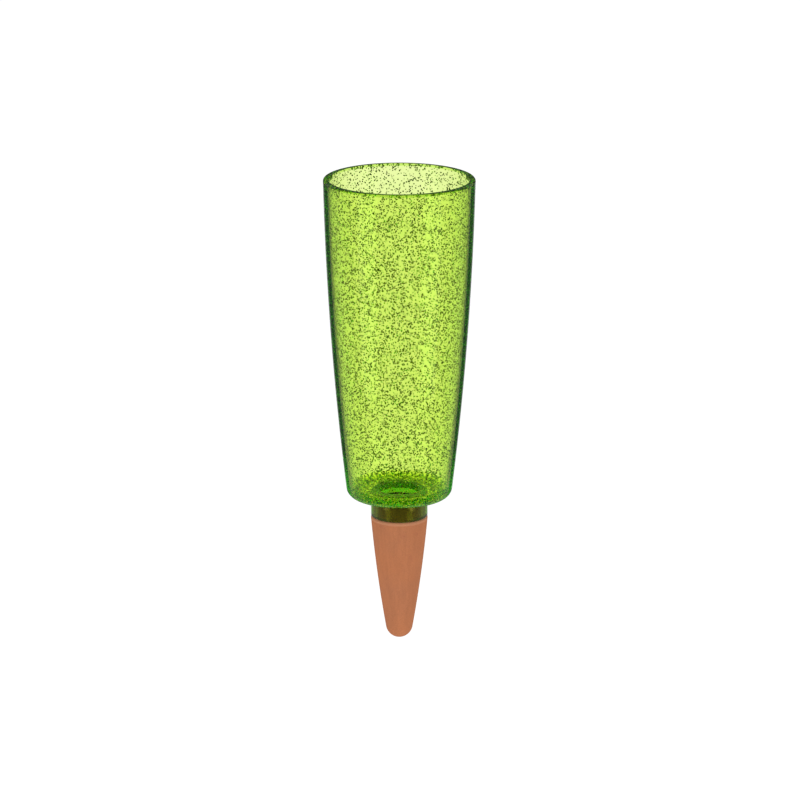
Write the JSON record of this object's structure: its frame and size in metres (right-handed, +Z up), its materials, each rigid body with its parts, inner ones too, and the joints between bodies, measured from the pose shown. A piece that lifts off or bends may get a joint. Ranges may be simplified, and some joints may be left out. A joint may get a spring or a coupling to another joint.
{
  "type": "self watering spike",
  "caption": "Open tapered see-through reservoir cup on a hollow clay cone that seeps water into a plant pot's soil; the cup turns and lifts off the cone.",
  "frame": {"origin": "the tip of the clay cone, on the axis", "axes": "+Z up along the axis, from the cone's tip to the cup's rim; X and Y are free, because the object is round"},
  "size_m": [0.08, 0.08, 0.253],
  "materials": {
    "bubbled_green_plastic": "gloss",
    "clear_green_plastic": "gloss",
    "black_rubber": "satin",
    "terracotta": "matte"
  },
  "bodies": {
    "cone": {"clay_cone": "terracotta"},
    "seal": {"seal_ring": "black_rubber"},
    "cup": {"reservoir_cup": "bubbled_green_plastic", "neck_socket": "clear_green_plastic"}
  },
  "joints": [
    {"name": "cup_twist", "type": "hinge", "parent": "cone", "child": "seal", "pos_m": [0, 0, 0.07715], "axis": [0, 0, 1], "continuous": true},
    {"name": "cup_lift", "type": "slide", "parent": "seal", "child": "cup", "axis": [0, 0, 1], "range_m": [0, 0.015]}
  ]
}
